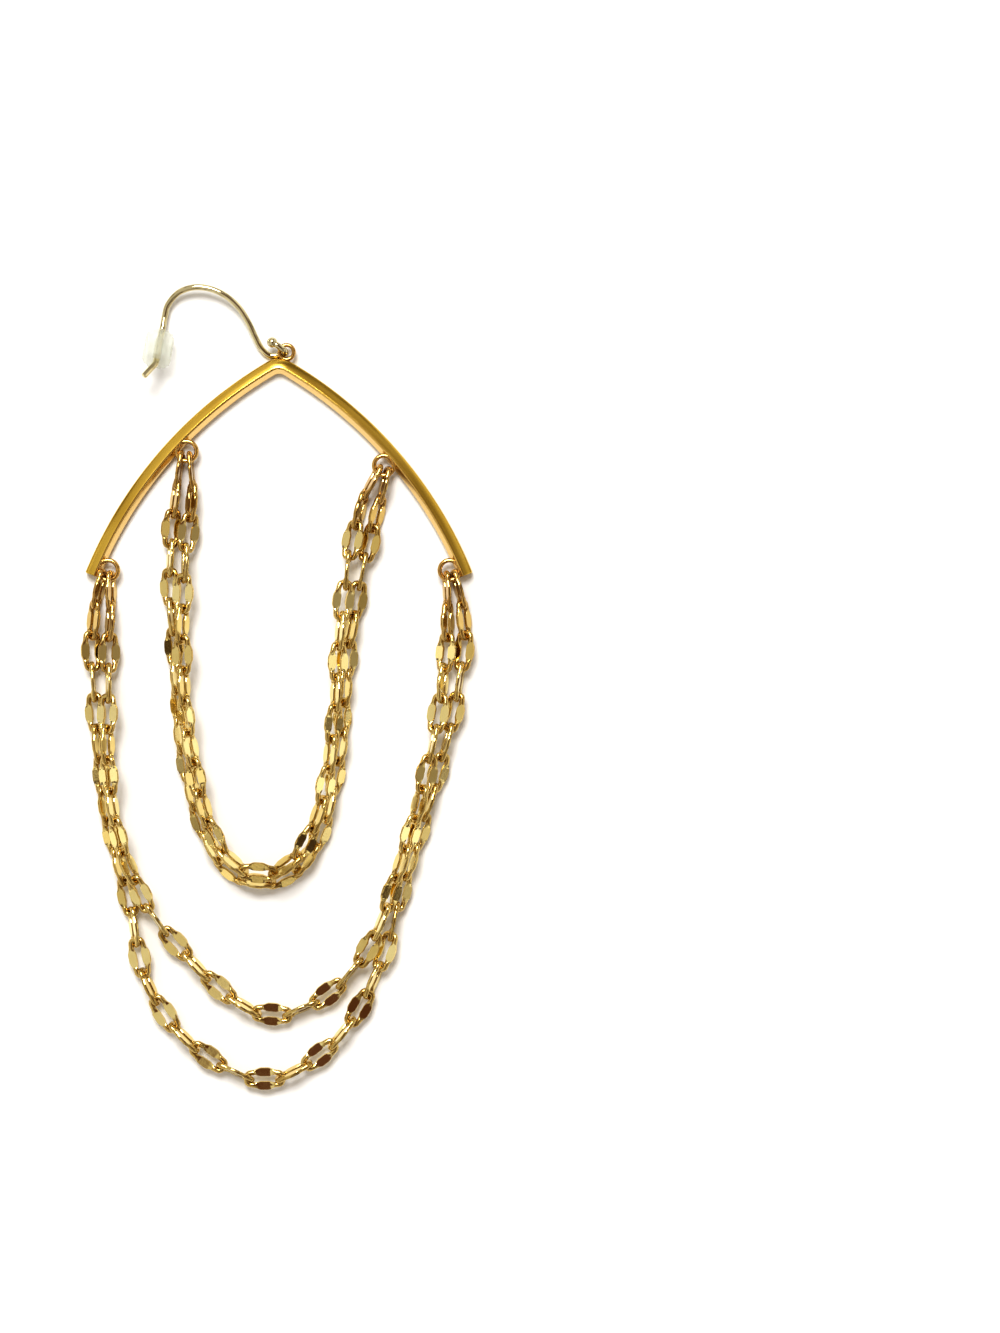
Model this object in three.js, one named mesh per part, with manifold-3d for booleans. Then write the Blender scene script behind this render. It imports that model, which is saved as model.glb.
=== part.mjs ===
// A chandelier earring, lying on its back: a pointed arch of profiled wire hangs from an ear hook
// and carries two swags of mirror-link chain, two strands in each.
// Millimetres and degrees, +Z up, the hook towards +Y. Run with the npm packages three and manifold-3d.

import * as THREE from 'three';
import { mergeVertices } from 'three/addons/utils/BufferGeometryUtils.js';
import Module from 'manifold-3d';

// The arch bar. Slopes are measured below the horizontal, and the profile stands on its flat back.
const BAR_WIDTH = 1.65;
const BAR_HEIGHT = 1.7;
const BAR_OUTER_WALL = 1.25;
const BAR_INNER_WALL = 0.85;
const BAR_RIDGE_FROM_INNER = 0.5;
const BAR_CORNER = 0.16;
const ARM_RADIUS = 47;
const PEAK_SLOPE = 30.5;
const END_SLOPE = 68;
const PEAK_BEND_RADIUS = 1.9;
const BAR_STEPS = 16;
const PEAK_STEP_SHARE = 0.25;

// The rings soldered along the inner edge of the bar, and how far each lies from the peak or the end.
const RING_WIRE = 0.5;
const RING_BORE = 1.7;
const SOLDER_DEPTH = 0.75;
const PEAK_SOLDER_DEPTH = 0.3;
const INNER_RING_LEFT = 14.2;
const INNER_RING_RIGHT = 16.4;
const OUTER_RING_LEFT_INSET = 1.2;
const OUTER_RING_RIGHT_INSET = 1.2;
const RING_SIDES = 10;
const RING_WIRE_SIDES = 5;

// The ring at the peak, which the ear hook passes through.
const PEAK_RING_WIRE = 0.45;
const PEAK_RING_BORE = 1.15;
const PEAK_RING_ACROSS = 0.85;

// The ear hook.
const HOOK_WIRE = 0.7;
const HOOK_BALL = 1.15;
const HOOK_REACH = 13.1;
const HOOK_RISE = 7.9;
const HOOK_LIFT = 1.5;
const HOOK_TIP = 2.1;
const HOOK_CLEARANCE = 0.1;
const HOOK_SIDES = 8;
const BALL_RINGS = 6;
const HOOK_STEPS = 29;

// The stopper. It leans on its upper rim, with its lower end raised.
const STOPPER_DIAMETER = 3.2;
const STOPPER_LENGTH = 3.4;
const STOPPER_RISE = 3.3;
const STOPPER_LEAN = 30;
const STOPPER_TURN = 7;
const STOPPER_RIBS = 14;
const STOPPER_RIB_DEPTH = 0.18;
const STOPPER_CLEARANCE = 0.15;

// The chain links.
const LINK_WIRE = 0.6;
const LINK_WIDTH = 2.55;
const LINK_PITCH = 3.45;
const LINK_BITE = 0.05;
const CORNER_CUT = 0.75;
const FACET_WIDTH = 0.97;
const FACET_THICKNESS = 0.36;
const RING_CLEARANCE = 0.14;

// How the strands lie.
const FLOOR_CLEARANCE = 0.04;
const BUNDLE_SPACING = 1.9;
const BUNDLE_TURN = 64;
const STRAND_SPREAD = 7.2;
const BUNDLE_ROLL = 58;
const END_ROLL = 47;
const FREE_ROLL = 90;
const SNUG_OPEN = 0.06;
const FREE_OPEN = 0.3;
const INNER_DROP = 46.8;
const OUTER_DROP = 53;

const radians = THREE.MathUtils.degToRad;

const kernel = await Module();
kernel.setup();

function solidOf(geometry) {
    const bare = geometry.clone();
    bare.deleteAttribute('normal');
    bare.deleteAttribute('uv');
    const merged = mergeVertices(bare);
    return new kernel.Manifold(new kernel.Mesh({
        numProp: 3,
        vertProperties: new Float32Array(merged.attributes.position.array),
        triVerts: new Uint32Array(merged.index.array),
    }));
}

function geometryOf(solid) {
    const mesh = solid.getMesh();
    const geometry = new THREE.BufferGeometry();
    geometry.setAttribute('position', new THREE.BufferAttribute(mesh.vertProperties, 3));
    geometry.setIndex(new THREE.BufferAttribute(mesh.triVerts, 1));
    geometry.computeVertexNormals();
    return geometry;
}

function fuse(geometries) {
    return geometryOf(geometries.map(solidOf).reduce((whole, piece) => whole.add(piece)));
}

// A path whose stations follow its own parameter, so that its tight bends get more of them.
class WirePath extends THREE.Curve {
    constructor(at) {
        super();
        this.at = at;
    }

    getPoint(t, target = new THREE.Vector3()) {
        return target.copy(this.at(t));
    }

    getPointAt(u, target) {
        return this.getPoint(u, target);
    }

    getTangentAt(u, target) {
        return this.getTangent(u, target);
    }
}

// The bar's centre line turns evenly from one end slope to the other: a small bend at the peak
// between two long arcs. Its parameter is the slope, negative on the left arm.
function barPoint(slope) {
    const side = Math.sign(slope);
    const steep = Math.abs(slope);
    const bend = radians(Math.min(steep, PEAK_SLOPE));
    const arm = radians(Math.max(steep, PEAK_SLOPE));
    const start = radians(PEAK_SLOPE);
    const across = PEAK_BEND_RADIUS * Math.sin(bend) + ARM_RADIUS * (Math.sin(arm) - Math.sin(start));
    const down = PEAK_BEND_RADIUS * (1 - Math.cos(bend)) + ARM_RADIUS * (Math.cos(start) - Math.cos(arm));
    return new THREE.Vector3(side * across, -down, 0);
}

// The slope of the bar at a length along one arm, measured from the peak.
function slopeAt(length) {
    const bendLength = PEAK_BEND_RADIUS * radians(PEAK_SLOPE);
    return PEAK_SLOPE + THREE.MathUtils.radToDeg((length - bendLength) / ARM_RADIUS);
}

function barLength() {
    return PEAK_BEND_RADIUS * radians(PEAK_SLOPE) + ARM_RADIUS * radians(END_SLOPE - PEAK_SLOPE);
}

// The profile, with its height along -x and its outer edge towards +y, as the sweep turns it.
function barProfile() {
    const outer = BAR_WIDTH / 2;
    const inner = -BAR_WIDTH / 2;
    const ridge = inner + BAR_RIDGE_FROM_INNER;
    const corner = BAR_CORNER;
    const points = [
        [0, inner],
        [BAR_INNER_WALL, inner],
        [BAR_HEIGHT - corner, ridge - corner],
        [BAR_HEIGHT, ridge + corner],
        [BAR_OUTER_WALL + corner / 2, outer - corner],
        [BAR_OUTER_WALL - corner / 2, outer],
        [0, outer],
    ];
    return new THREE.Shape(points.map(([height, out]) => new THREE.Vector2(-height, out)));
}

// The slope at a share t of the sweep's steps, from -1 at the left end to 1 at the right. The bend at
// the peak takes its own share of them.
function stepSlope(t) {
    const step = Math.abs(t);
    const steep = step < PEAK_STEP_SHARE
        ? THREE.MathUtils.mapLinear(step, 0, PEAK_STEP_SHARE, 0, PEAK_SLOPE)
        : THREE.MathUtils.mapLinear(step, PEAK_STEP_SHARE, 1, PEAK_SLOPE, END_SLOPE);
    return Math.sign(t) * steep;
}

function barSweep() {
    const path = new WirePath((t) => barPoint(stepSlope(2 * t - 1)));
    return new THREE.ExtrudeGeometry(barProfile(), { steps: BAR_STEPS, extrudePath: path });
}

// The height of the strands' centre line, with the links on edge just clear of the surface.
const STRAND_HEIGHT = LINK_WIDTH / 2 + FLOOR_CLEARANCE;
const RING_RADIUS = (RING_BORE + RING_WIRE) / 2;

// The centre of a ring soldered to the inner edge, at a length along the left or right arm.
function ringCentre(side, length) {
    const slope = slopeAt(length);
    const inward = new THREE.Vector3(-side * Math.sin(radians(slope)), -Math.cos(radians(slope)), 0);
    const reach = BAR_WIDTH / 2 + RING_RADIUS + RING_WIRE / 2 - SOLDER_DEPTH;
    const centre = barPoint(side * slope).addScaledVector(inward, reach);
    centre.z = STRAND_HEIGHT;
    return centre;
}

const RINGS = {
    innerLeft: ringCentre(-1, INNER_RING_LEFT),
    innerRight: ringCentre(1, INNER_RING_RIGHT),
    outerLeft: ringCentre(-1, barLength() - OUTER_RING_LEFT_INSET),
    outerRight: ringCentre(1, barLength() - OUTER_RING_RIGHT_INSET),
};

const PEAK_RING_RADIUS = (PEAK_RING_BORE + PEAK_RING_WIRE) / 2;
const PEAK_RING = new THREE.Vector3(
    PEAK_RING_ACROSS,
    BAR_WIDTH / 2 + PEAK_RING_RADIUS + PEAK_RING_WIRE / 2 - PEAK_SOLDER_DEPTH,
    HOOK_WIRE + HOOK_CLEARANCE + PEAK_RING_WIRE / 2 + FLOOR_CLEARANCE,
);

function ring(centre, radius, wire) {
    const torus = new THREE.TorusGeometry(radius, wire / 2, RING_WIRE_SIDES, RING_SIDES);
    torus.translate(centre.x, centre.y, centre.z);
    return torus;
}

function archBar() {
    const rings = Object.values(RINGS).map((centre) => ring(centre, RING_RADIUS, RING_WIRE));
    return fuse([barSweep(), ring(PEAK_RING, PEAK_RING_RADIUS, PEAK_RING_WIRE), ...rings]);
}

// The stopper's axis runs down the back leg of the hook, and climbs towards its lower end.
const STOPPER_AXIS = new THREE.Vector3(
    -Math.sin(radians(STOPPER_TURN)) * Math.cos(radians(STOPPER_LEAN)),
    -Math.cos(radians(STOPPER_TURN)) * Math.cos(radians(STOPPER_LEAN)),
    Math.sin(radians(STOPPER_LEAN)),
);
const STOPPER_TOP = new THREE.Vector3(
    -HOOK_REACH,
    STOPPER_RISE,
    (STOPPER_DIAMETER / 2) * Math.cos(radians(STOPPER_LEAN)) + FLOOR_CLEARANCE,
);

// The hook's arch, from the stopper to the peak ring, as shares of its reach, rise and lift.
const HOOK_ARCH = [
    { across: -0.985, up: 0.42, lift: 0.72 },
    { across: -0.966, up: 0.61, lift: 0.58 },
    { across: -0.94, up: 0.76, lift: 0.6 },
    { across: -0.85, up: 0.925, lift: 0.78 },
    { across: -0.73, up: 0.995, lift: 0.95 },
    { across: -0.6, up: 0.985, lift: 1 },
    { across: -0.46, up: 0.89, lift: 0.98 },
    { across: -0.34, up: 0.72, lift: 0.9 },
    { across: -0.255, up: 0.5, lift: 0.76 },
    { across: -0.2, up: 0.3, lift: 0.58 },
    { across: -0.155, up: 0.16, lift: 0.42 },
    { across: -0.09, up: 0.06, lift: 0.3 },
];

// Where the wire meets the peak ring, as shares of the ring's radius from its centre, and of the way
// up from below its rim to above it: along the bar under the rim, through the hole, and back over.
const HOOK_EYE = [
    { across: -1.7, up: -0.44, height: 0.02 },
    { across: -0.85, up: -0.34, height: 0 },
    { across: -0.3, up: -0.16, height: 0.16 },
    { across: -0.1, up: 0, height: 0.5 },
    { across: -0.36, up: 0.24, height: 0.86 },
    { across: -0.95, up: 0.7, height: 1 },
    { across: -1.95, up: 1.3, height: 1 },
];

// The straight back leg, as shares of the stopper's length from its upper end, and the tip that
// bends away from it, as shares of the tip's length.
const HOOK_LEG = [1.08, 0.75, 0.4, 0];
const HOOK_TIP_POINTS = [1, 0.45];
const TIP_DIRECTION = new THREE.Vector3(-0.6, -0.72, 0.35).normalize();

function hookPoints() {
    const leg = HOOK_LEG.map(
        (share) => STOPPER_TOP.clone().addScaledVector(STOPPER_AXIS, share * STOPPER_LENGTH),
    );
    const tip = HOOK_TIP_POINTS.map(
        (share) => leg[0].clone().addScaledVector(TIP_DIRECTION, share * HOOK_TIP),
    );
    const arch = HOOK_ARCH.map(({ across, up, lift }) => new THREE.Vector3(
        across * HOOK_REACH,
        BAR_WIDTH / 2 + up * HOOK_RISE,
        lift * HOOK_LIFT,
    ));
    const under = HOOK_WIRE / 2 + FLOOR_CLEARANCE;
    const over = 2 * PEAK_RING.z - under;
    const eye = HOOK_EYE.map(({ across, up, height }) => new THREE.Vector3(
        PEAK_RING.x + across * PEAK_RING_RADIUS,
        PEAK_RING.y + up * PEAK_RING_RADIUS,
        THREE.MathUtils.lerp(under, over, height),
    ));
    return [...tip, ...leg, ...arch, ...eye];
}

function roundSection(diameter, sides) {
    const corners = Array.from({ length: sides }, (_, k) => {
        const turn = (2 * Math.PI * (k + 0.5)) / sides;
        return new THREE.Vector2(Math.cos(turn), Math.sin(turn)).multiplyScalar(diameter / 2);
    });
    return new THREE.Shape(corners);
}

function earHook() {
    const points = hookPoints();
    const spline = new THREE.CatmullRomCurve3(points);
    const path = new WirePath((t) => spline.getPoint(t));
    const wire = new THREE.ExtrudeGeometry(roundSection(HOOK_WIRE, HOOK_SIDES), {
        steps: HOOK_STEPS,
        extrudePath: path,
    });
    const last = points[points.length - 1];
    const ball = new THREE.SphereGeometry(HOOK_BALL / 2, HOOK_SIDES, BALL_RINGS);
    ball.translate(last.x, last.y, last.z);
    return fuse([wire, ball]);
}

// A ribbed barrel with a bore along its axis.
function stopper() {
    const outline = [];
    for (let k = 0; k < 2 * STOPPER_RIBS; k += 1) {
        const turn = (Math.PI * k) / STOPPER_RIBS;
        const radius = STOPPER_DIAMETER / 2 - (k % 2) * STOPPER_RIB_DEPTH;
        outline.push(new THREE.Vector2(Math.cos(turn), Math.sin(turn)).multiplyScalar(radius));
    }
    const shape = new THREE.Shape(outline);
    const bore = roundSection(HOOK_WIRE + 2 * STOPPER_CLEARANCE, HOOK_SIDES).getPoints();
    shape.holes.push(new THREE.Path(bore));
    const barrel = new THREE.ExtrudeGeometry(shape, { depth: STOPPER_LENGTH, bevelEnabled: false });
    const along = new THREE.Quaternion().setFromUnitVectors(new THREE.Vector3(0, 0, 1), STOPPER_AXIS);
    barrel.applyQuaternion(along);
    barrel.translate(STOPPER_TOP.x, STOPPER_TOP.y, STOPPER_TOP.z);
    return barrel;
}

// A link's stations round its wire, as shares of the centre line's half length and half width. Wide
// is a share of the facet's width, and flat is 0 where the wire is round and 1 where it is hammered.
const LINK_STATIONS = [
    { along: 1, across: -0.77, wide: 0, flat: 0 },
    { along: 1, across: 0.77, wide: 0, flat: 0 },
    { along: 0.4, across: 0.96, wide: 0.7, flat: 1 },
    { along: 0, across: 1, wide: 1, flat: 1 },
    { along: -0.4, across: 0.96, wide: 0.7, flat: 1 },
    { along: -1, across: 0.77, wide: 0, flat: 0 },
    { along: -1, across: -0.77, wide: 0, flat: 0 },
    { along: -0.4, across: -0.96, wide: 0.7, flat: 1 },
    { along: 0, across: -1, wide: 1, flat: 1 },
    { along: 0.4, across: -0.96, wide: 0.7, flat: 1 },
];

// Five corners of the wire's section, one of them inmost: outward from the link's middle, and up
// from its plane, as shares of the wire's or the facet's width and thickness.
const WIRE_SIDES = 5;
const ROUND_SECTION = Array.from({ length: WIRE_SIDES }, (_, k) => ({
    out: Math.cos((2 * Math.PI * (k + 0.5)) / WIRE_SIDES) / 2,
    up: Math.sin((2 * Math.PI * (k + 0.5)) / WIRE_SIDES) / 2,
}));
const FACET_SECTION = [
    { out: 0.5, up: 0.5 },
    { out: -0.32, up: 0.5 },
    { out: -0.5, up: 0 },
    { out: -0.32, up: -0.5 },
    { out: 0.5, up: -0.5 },
];

// A link in its own frame: its length along x, its width along y. The inner edges of its two ends
// lie a spacing apart, so that links set end over end at that spacing just bite.
function link(spacing) {
    const half = (spacing + LINK_WIRE - LINK_BITE) / 2;
    const side = (LINK_WIDTH - FACET_WIDTH) / 2;
    const torus = new THREE.TorusGeometry(1, 0.5, WIRE_SIDES, LINK_STATIONS.length);
    const position = torus.attributes.position;
    const columns = LINK_STATIONS.length + 1;
    for (let index = 0; index < position.count; index += 1) {
        const station = LINK_STATIONS[(index % columns) % LINK_STATIONS.length];
        const corner = Math.floor(index / columns) % WIRE_SIDES;
        const round = ROUND_SECTION[corner];
        const facet = FACET_SECTION[corner];
        const out = station.flat ? facet.out * FACET_WIDTH * station.wide : round.out * LINK_WIRE;
        const up = station.flat ? facet.up * FACET_THICKNESS : round.up * LINK_WIRE;
        const end = station.flat ? 0 : Math.sign(station.along);
        const flank = Math.sign(station.across) * (station.flat ? 1 : CORNER_CUT);
        position.setXYZ(index, station.along * half + end * out, station.across * side + flank * out, up);
    }
    return torus;
}

// The middle line of each swag, from its left ring to its right ring. Across is a share of the
// distance between the rings, down a share of the swag's drop, open how far the two strands have
// parted, from touching at 0 to their full spread at 1, and turn how far the inside strand has
// climbed onto the other, from side by side at 0 to nearly over it at 1.
const INNER_ROUTE = [
    { across: -0.015, down: 0.11, open: 0, turn: 0 },
    { across: -0.045, down: 0.255, open: 0, turn: 0.35 },
    { across: -0.045, down: 0.4, open: 0, turn: 0.8 },
    { across: -0.03, down: 0.54, open: 0, turn: 1 },
    { across: -0.005, down: 0.67, open: 0, turn: 1 },
    { across: 0.045, down: 0.795, open: 0, turn: 1 },
    { across: 0.125, down: 0.91, open: 0.02, turn: 1 },
    { across: 0.235, down: 0.98, open: 0.05, turn: 1 },
    { across: 0.385, down: 1, open: 0.055, turn: 1 },
    { across: 0.535, down: 0.97, open: 0.05, turn: 1 },
    { across: 0.65, down: 0.89, open: 0.02, turn: 1 },
    { across: 0.725, down: 0.77, open: 0, turn: 1 },
    { across: 0.765, down: 0.635, open: 0, turn: 1 },
    { across: 0.785, down: 0.505, open: 0, turn: 1 },
    { across: 0.815, down: 0.365, open: 0, turn: 0.8 },
    { across: 0.865, down: 0.225, open: 0, turn: 0.35 },
    { across: 0.935, down: 0.09, open: 0, turn: 0 },
];
const OUTER_ROUTE = [
    { across: -0.02, down: 0.105, open: 0, turn: 0 },
    { across: -0.02, down: 0.235, open: 0, turn: 0.35 },
    { across: -0.015, down: 0.345, open: 0, turn: 0.8 },
    { across: 0, down: 0.465, open: 0, turn: 1 },
    { across: 0.03, down: 0.575, open: 0, turn: 1 },
    { across: 0.075, down: 0.67, open: 0, turn: 0.7 },
    { across: 0.11, down: 0.745, open: 0.16, turn: 0.12 },
    { across: 0.17, down: 0.83, open: 0.64, turn: 0.02 },
    { across: 0.28, down: 0.93, open: 0.9, turn: 0 },
    { across: 0.46, down: 1, open: 1, turn: 0 },
    { across: 0.595, down: 0.965, open: 0.64, turn: 0 },
    { across: 0.69, down: 0.905, open: 0.34, turn: 0.02 },
    { across: 0.755, down: 0.84, open: 0.1, turn: 0.12 },
    { across: 0.81, down: 0.755, open: 0, turn: 0.6 },
    { across: 0.85, down: 0.655, open: 0, turn: 1 },
    { across: 0.895, down: 0.555, open: 0, turn: 1 },
    { across: 0.935, down: 0.465, open: 0, turn: 0.9 },
    { across: 0.975, down: 0.345, open: 0, turn: 0.6 },
    { across: 1.005, down: 0.235, open: 0, turn: 0.25 },
    { across: 1.02, down: 0.105, open: 0, turn: 0 },
];

// The points of one strand. Side is 1 for the strand on the inside of the swag and -1 outside.
function strandRoute({ left, right, route, drop }, side) {
    const at = ({ across, down }) => new THREE.Vector3(
        THREE.MathUtils.lerp(left.x, right.x, across),
        THREE.MathUtils.lerp(left.y, right.y, across) - down * drop,
        STRAND_HEIGHT,
    );
    const middle = new THREE.CatmullRomCurve3(route.map(at));
    const last = route.length - 1;
    const points = route.map(({ open, turn }, k) => {
        const ahead = middle.getTangent(k / last);
        const half = THREE.MathUtils.lerp(BUNDLE_SPACING, STRAND_SPREAD, open) / 2;
        const beside = half * Math.cos(radians(turn * BUNDLE_TURN));
        const above = half * Math.sin(radians(turn * BUNDLE_TURN));
        const point = middle.getPoint(k / last);
        point.addScaledVector(new THREE.Vector3(-ahead.y, ahead.x, 0), side * beside);
        point.z += above + side * above;
        return point;
    });
    return [ringHold(left, points[0], side), ...points, ringHold(right, points[last], -side)];
}

// Where the first link bears on a ring: inside its bore, towards the strand's next point.
function ringHold(centre, next, side) {
    const reach = RING_BORE / 2 - RING_CLEARANCE;
    const apart = LINK_WIRE + RING_CLEARANCE;
    const ahead = next.clone().sub(centre).setZ(0).normalize();
    const across = new THREE.Vector3(-ahead.y, ahead.x, 0);
    const along = Math.sqrt(reach ** 2 - (apart / 2) ** 2);
    return centre.clone().addScaledVector(ahead, along).addScaledVector(across, (side * apart) / 2);
}

// How far the links are rolled at a share of a strand's length: with the turn of the bundle and a
// little over while the strands touch, and on to a quarter turn once they have parted and each
// link lies flat or on edge.
function rollAt(swag, curve, share) {
    const ring = { open: 0, turn: 0 };
    const rows = [ring, ...swag.route, ring];
    const place = curve.getUtoTmapping(share) * (rows.length - 1);
    const before = rows[Math.floor(place)];
    const after = rows[Math.min(Math.floor(place) + 1, rows.length - 1)];
    const open = THREE.MathUtils.lerp(before.open, after.open, place % 1);
    const turn = THREE.MathUtils.lerp(before.turn, after.turn, place % 1);
    const free = THREE.MathUtils.smoothstep(open, SNUG_OPEN, FREE_OPEN);
    return turn * BUNDLE_TURN + THREE.MathUtils.lerp(BUNDLE_ROLL, FREE_ROLL, free);
}

function strand(swag, side) {
    const curve = new THREE.CatmullRomCurve3(strandRoute(swag, side));
    curve.arcLengthDivisions = 1000;
    const count = 2 * Math.round(curve.getLength() / LINK_PITCH / 2) + 1;
    const joints = curve.getSpacedPoints(count);
    const links = [];
    for (let k = 0; k < count; k += 1) {
        const ahead = joints[k + 1].clone().sub(joints[k]);
        const spacing = ahead.length();
        ahead.normalize();
        const last = k === 0 || k === count - 1;
        const turn = rollAt(swag, curve, (k + 0.5) / count) - 90 * ((k + 1) % 2);
        const roll = radians(last ? turn - END_ROLL : turn);
        const level = new THREE.Vector3(-ahead.y, ahead.x, 0).normalize();
        const rise = new THREE.Vector3().crossVectors(ahead, level);
        const wide = level.multiplyScalar(Math.cos(roll)).addScaledVector(rise, Math.sin(roll));
        const normal = new THREE.Vector3().crossVectors(ahead, wide);
        const place = new THREE.Matrix4().makeBasis(ahead, wide, normal);
        place.setPosition(joints[k].clone().add(joints[k + 1]).multiplyScalar(0.5));
        links.push(link(spacing).applyMatrix4(place));
    }
    return links;
}

const INNER_SWAG = {
    left: RINGS.innerLeft,
    right: RINGS.innerRight,
    route: INNER_ROUTE,
    drop: INNER_DROP,
};
const OUTER_SWAG = {
    left: RINGS.outerLeft,
    right: RINGS.outerRight,
    route: OUTER_ROUTE,
    drop: OUTER_DROP,
};

const GOLD = 0xc99a35;
const PALE_GOLD = 0xd9bd6a;
const BRIGHT_GOLD = 0xdcb650;
const SILICONE = 0xdfe2d2;

function piece(name, geometry, color, metalness, roughness) {
    const material = new THREE.MeshStandardMaterial({ color, metalness, roughness });
    const mesh = new THREE.Mesh(geometry, material);
    mesh.name = name;
    return mesh;
}

const earring = new THREE.Group();
earring.add(
    piece('arch_bar', archBar(), GOLD, 1, 0.18),
    piece('ear_hook', earHook(), PALE_GOLD, 1, 0.2),
    piece('stopper', stopper(), SILICONE, 0, 0.35),
    piece('inner_chain_a', fuse(strand(INNER_SWAG, 1)), BRIGHT_GOLD, 1, 0.15),
    piece('inner_chain_b', fuse(strand(INNER_SWAG, -1)), BRIGHT_GOLD, 1, 0.15),
    piece('outer_chain_short', fuse(strand(OUTER_SWAG, 1)), BRIGHT_GOLD, 1, 0.15),
    piece('outer_chain_long', fuse(strand(OUTER_SWAG, -1)), BRIGHT_GOLD, 1, 0.15),
);

// The origin is under the middle of the whole earring, on the surface that it lies on.
const box = new THREE.Box3().setFromObject(earring);
earring.position.set(-(box.min.x + box.max.x) / 2, -(box.min.y + box.max.y) / 2, -box.min.z);

export default earring;
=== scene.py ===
import itertools
import math

import bpy
import numpy as np
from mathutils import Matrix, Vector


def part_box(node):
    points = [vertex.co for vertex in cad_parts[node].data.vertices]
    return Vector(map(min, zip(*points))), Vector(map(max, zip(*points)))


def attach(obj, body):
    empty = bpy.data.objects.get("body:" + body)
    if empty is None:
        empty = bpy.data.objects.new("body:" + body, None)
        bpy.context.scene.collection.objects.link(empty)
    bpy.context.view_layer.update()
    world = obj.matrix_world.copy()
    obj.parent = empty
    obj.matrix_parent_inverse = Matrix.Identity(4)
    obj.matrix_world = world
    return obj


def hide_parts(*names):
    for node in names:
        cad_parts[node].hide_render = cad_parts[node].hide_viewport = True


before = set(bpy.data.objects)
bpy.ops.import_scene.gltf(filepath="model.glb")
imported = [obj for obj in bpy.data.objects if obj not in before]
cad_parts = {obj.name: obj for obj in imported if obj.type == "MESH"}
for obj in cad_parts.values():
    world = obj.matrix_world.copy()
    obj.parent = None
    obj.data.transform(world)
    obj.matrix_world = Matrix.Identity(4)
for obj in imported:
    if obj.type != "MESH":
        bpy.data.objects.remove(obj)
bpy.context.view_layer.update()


# The arch bar: one length of heavy profiled brass wire, bent to a point in the middle and plated
# with deep yellow gold. It is flat behind, and a ridge along its front parts a broad outer face
# from a steep inner bevel. Both ends are cut square.
MM_PER_METRE = 1000
BAR_WIDTH = 1.65
BAR_HEIGHT = 1.7
BAR_OUTER_WALL = 1.25
BAR_INNER_WALL = 0.85
BAR_RIDGE_FROM_INNER = 0.5
BAR_EDGE = 0.2
BAR_CROWN = 0.06
CROWN_SPREAD = 0.4
RIDGE_EDGE = 0.2
CORNER_STEPS = 7
ARM_RADIUS = 47.0
PEAK_SLOPE = math.radians(30.5)
END_SLOPE = math.radians(68.0)
PEAK_BEND_RADIUS = 1.9
ARM_STATIONS = 90
BEND_STATIONS = 24
END_BEVEL = 0.07
SHARP_ANGLE = math.radians(32)
BAR_DEEP = (0.62, 0.40, 0.07, 1)
BAR_LIGHT = (0.72, 0.49, 0.10, 1)
# Painted sheen: the inner bevel is painted a paler gold, for the light that its slope catches.
BAR_BEVEL_SHEEN = (0.80, 0.58, 0.26, 1)
BAR_DULL = 0.15
BAR_STREAKED = 0.1

# Every plated piece has the same soft patches, drawn-out streaks and fine grain.
PLATE_PATCHES = 110.0
PLATE_PATCH_SPAN = (0.35, 0.65)
PLATE_STREAKS = 5.0
PLATE_STREAK_SPAN = (0.3, 0.75)
PLATE_STREAK_STRETCH = (0.04, 1.0, 1.0)
PLATE_GRAIN = 1400.0
PLATE_RELIEF = 0.3
PLATE_RELIEF_DEPTH = 0.000006

# The small ring stands on the peak, so the top of the bar's solid tells where the peak is. The
# solid's ring has so many sides that its top stands a little inside a round one.
PEAK_RING_WIRE = 0.45
PEAK_RING_BORE = 1.15
PEAK_RING_ACROSS = 0.85
PEAK_SOLDER_DEPTH = 0.3
PEAK_RING_RADIUS = (PEAK_RING_BORE + PEAK_RING_WIRE) / 2
PEAK_RING_UP = BAR_WIDTH / 2 + PEAK_RING_RADIUS + PEAK_RING_WIRE / 2 - PEAK_SOLDER_DEPTH
SOLID_RING_SIDES = 10
bar_low, bar_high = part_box("arch_bar")
ring_top = (PEAK_RING_RADIUS + PEAK_RING_WIRE / 2) * math.cos(math.pi / SOLID_RING_SIDES)
peak = np.array([
    (bar_low.x + bar_high.x) / 2 * MM_PER_METRE,
    bar_high.y * MM_PER_METRE - PEAK_RING_UP - ring_top,
    0.0,
])


def bar_centre(slope):
    """The bar's centre line where it slopes down by an angle, negative on the left arm.

    It turns evenly: round a small circle up to the peak slope, then round a large one. So across
    is radius times sine, down is radius times one minus cosine, and the two arcs add up.
    """
    steep = np.abs(slope)
    bend = np.minimum(steep, PEAK_SLOPE)
    arm = np.maximum(steep, PEAK_SLOPE)
    across = PEAK_BEND_RADIUS * np.sin(bend) + ARM_RADIUS * (np.sin(arm) - math.sin(PEAK_SLOPE))
    down = PEAK_BEND_RADIUS * (1 - np.cos(bend)) + ARM_RADIUS * (math.cos(PEAK_SLOPE) - np.cos(arm))
    return np.stack([np.sign(slope) * across, -down, np.zeros_like(slope)], axis=-1)


def rounded(corners, cuts, steps):
    """A closed outline with soft corners.

    Each corner becomes a quadratic curve that starts its cut before it, aims at it and ends its cut
    after it: (1 - t)^2 start + 2 t (1 - t) corner + t^2 end.
    """
    corners = np.array(corners, float)
    back = np.roll(corners, 1, axis=0) - corners
    ahead = np.roll(corners, -1, axis=0) - corners
    start = corners + cuts * back / np.linalg.norm(back, axis=1, keepdims=True)
    end = corners + cuts * ahead / np.linalg.norm(ahead, axis=1, keepdims=True)
    t = np.linspace(0, 1, steps)[None, :, None]
    curve = (1 - t) ** 2 * start[:, None] + 2 * t * (1 - t) * corners[:, None] + t**2 * end[:, None]
    return curve.reshape(-1, 2)


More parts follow.
